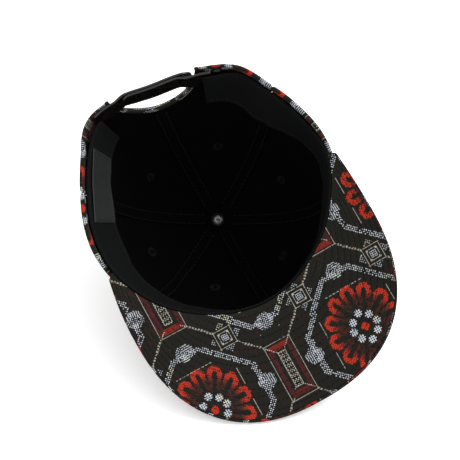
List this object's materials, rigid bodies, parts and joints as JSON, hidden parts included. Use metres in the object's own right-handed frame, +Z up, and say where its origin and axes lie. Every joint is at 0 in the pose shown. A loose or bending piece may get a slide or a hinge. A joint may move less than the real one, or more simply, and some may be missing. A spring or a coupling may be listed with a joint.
{
  "type": "six-panel cap with a flat visor",
  "caption": "Cloth cap with a flat visor, patterned outside and lined in black, with an adjustable plastic strap at the back, lying upside down",
  "frame": {"origin": "on the table, under the middle of the cap's bounding box", "axes": "+Z up from the table, -Y the way the visor points, the cap lying upside down on its crown and visor"},
  "size_m": [0.182, 0.2386, 0.1686],
  "materials": {
    "patterned_cloth": "woven kasuri-type cotton, dark ground with dotted white and red motifs",
    "lining_cloth": "plain black cotton twill",
    "sweatband_cloth": "fine black twill with stitched edges",
    "label_satin": "bare black satin, slightly glossy",
    "strap_plastic": "moulded black plastic with a soft gloss",
    "rivet_metal": "polished metal",
    "eyelet_thread": "dark thread, closely stitched"
  },
  "bodies": {
    "root": {"panel_front_right": "patterned_cloth", "panel_side_right": "patterned_cloth", "panel_back_right": "patterned_cloth", "panel_back_left": "patterned_cloth", "panel_side_left": "patterned_cloth", "panel_front_left": "patterned_cloth", "visor_under": "patterned_cloth", "visor_upper": "patterned_cloth", "arch_binding": "patterned_cloth", "button": "patterned_cloth", "lining": "lining_cloth", "seam_tape_front": "lining_cloth", "seam_tape_front_right": "lining_cloth", "seam_tape_back_right": "lining_cloth", "seam_tape_back": "lining_cloth", "seam_tape_back_left": "lining_cloth", "seam_tape_front_left": "lining_cloth", "sweatband": "sweatband_cloth", "label": "label_satin", "strap_outer": "strap_plastic", "strap_inner": "strap_plastic", "rivet": "rivet_metal", "eyelet_front_right": "eyelet_thread", "eyelet_side_right": "eyelet_thread", "eyelet_back_right": "eyelet_thread", "eyelet_back_left": "eyelet_thread", "eyelet_side_left": "eyelet_thread", "eyelet_front_left": "eyelet_thread"}
  },
  "joints": []
}
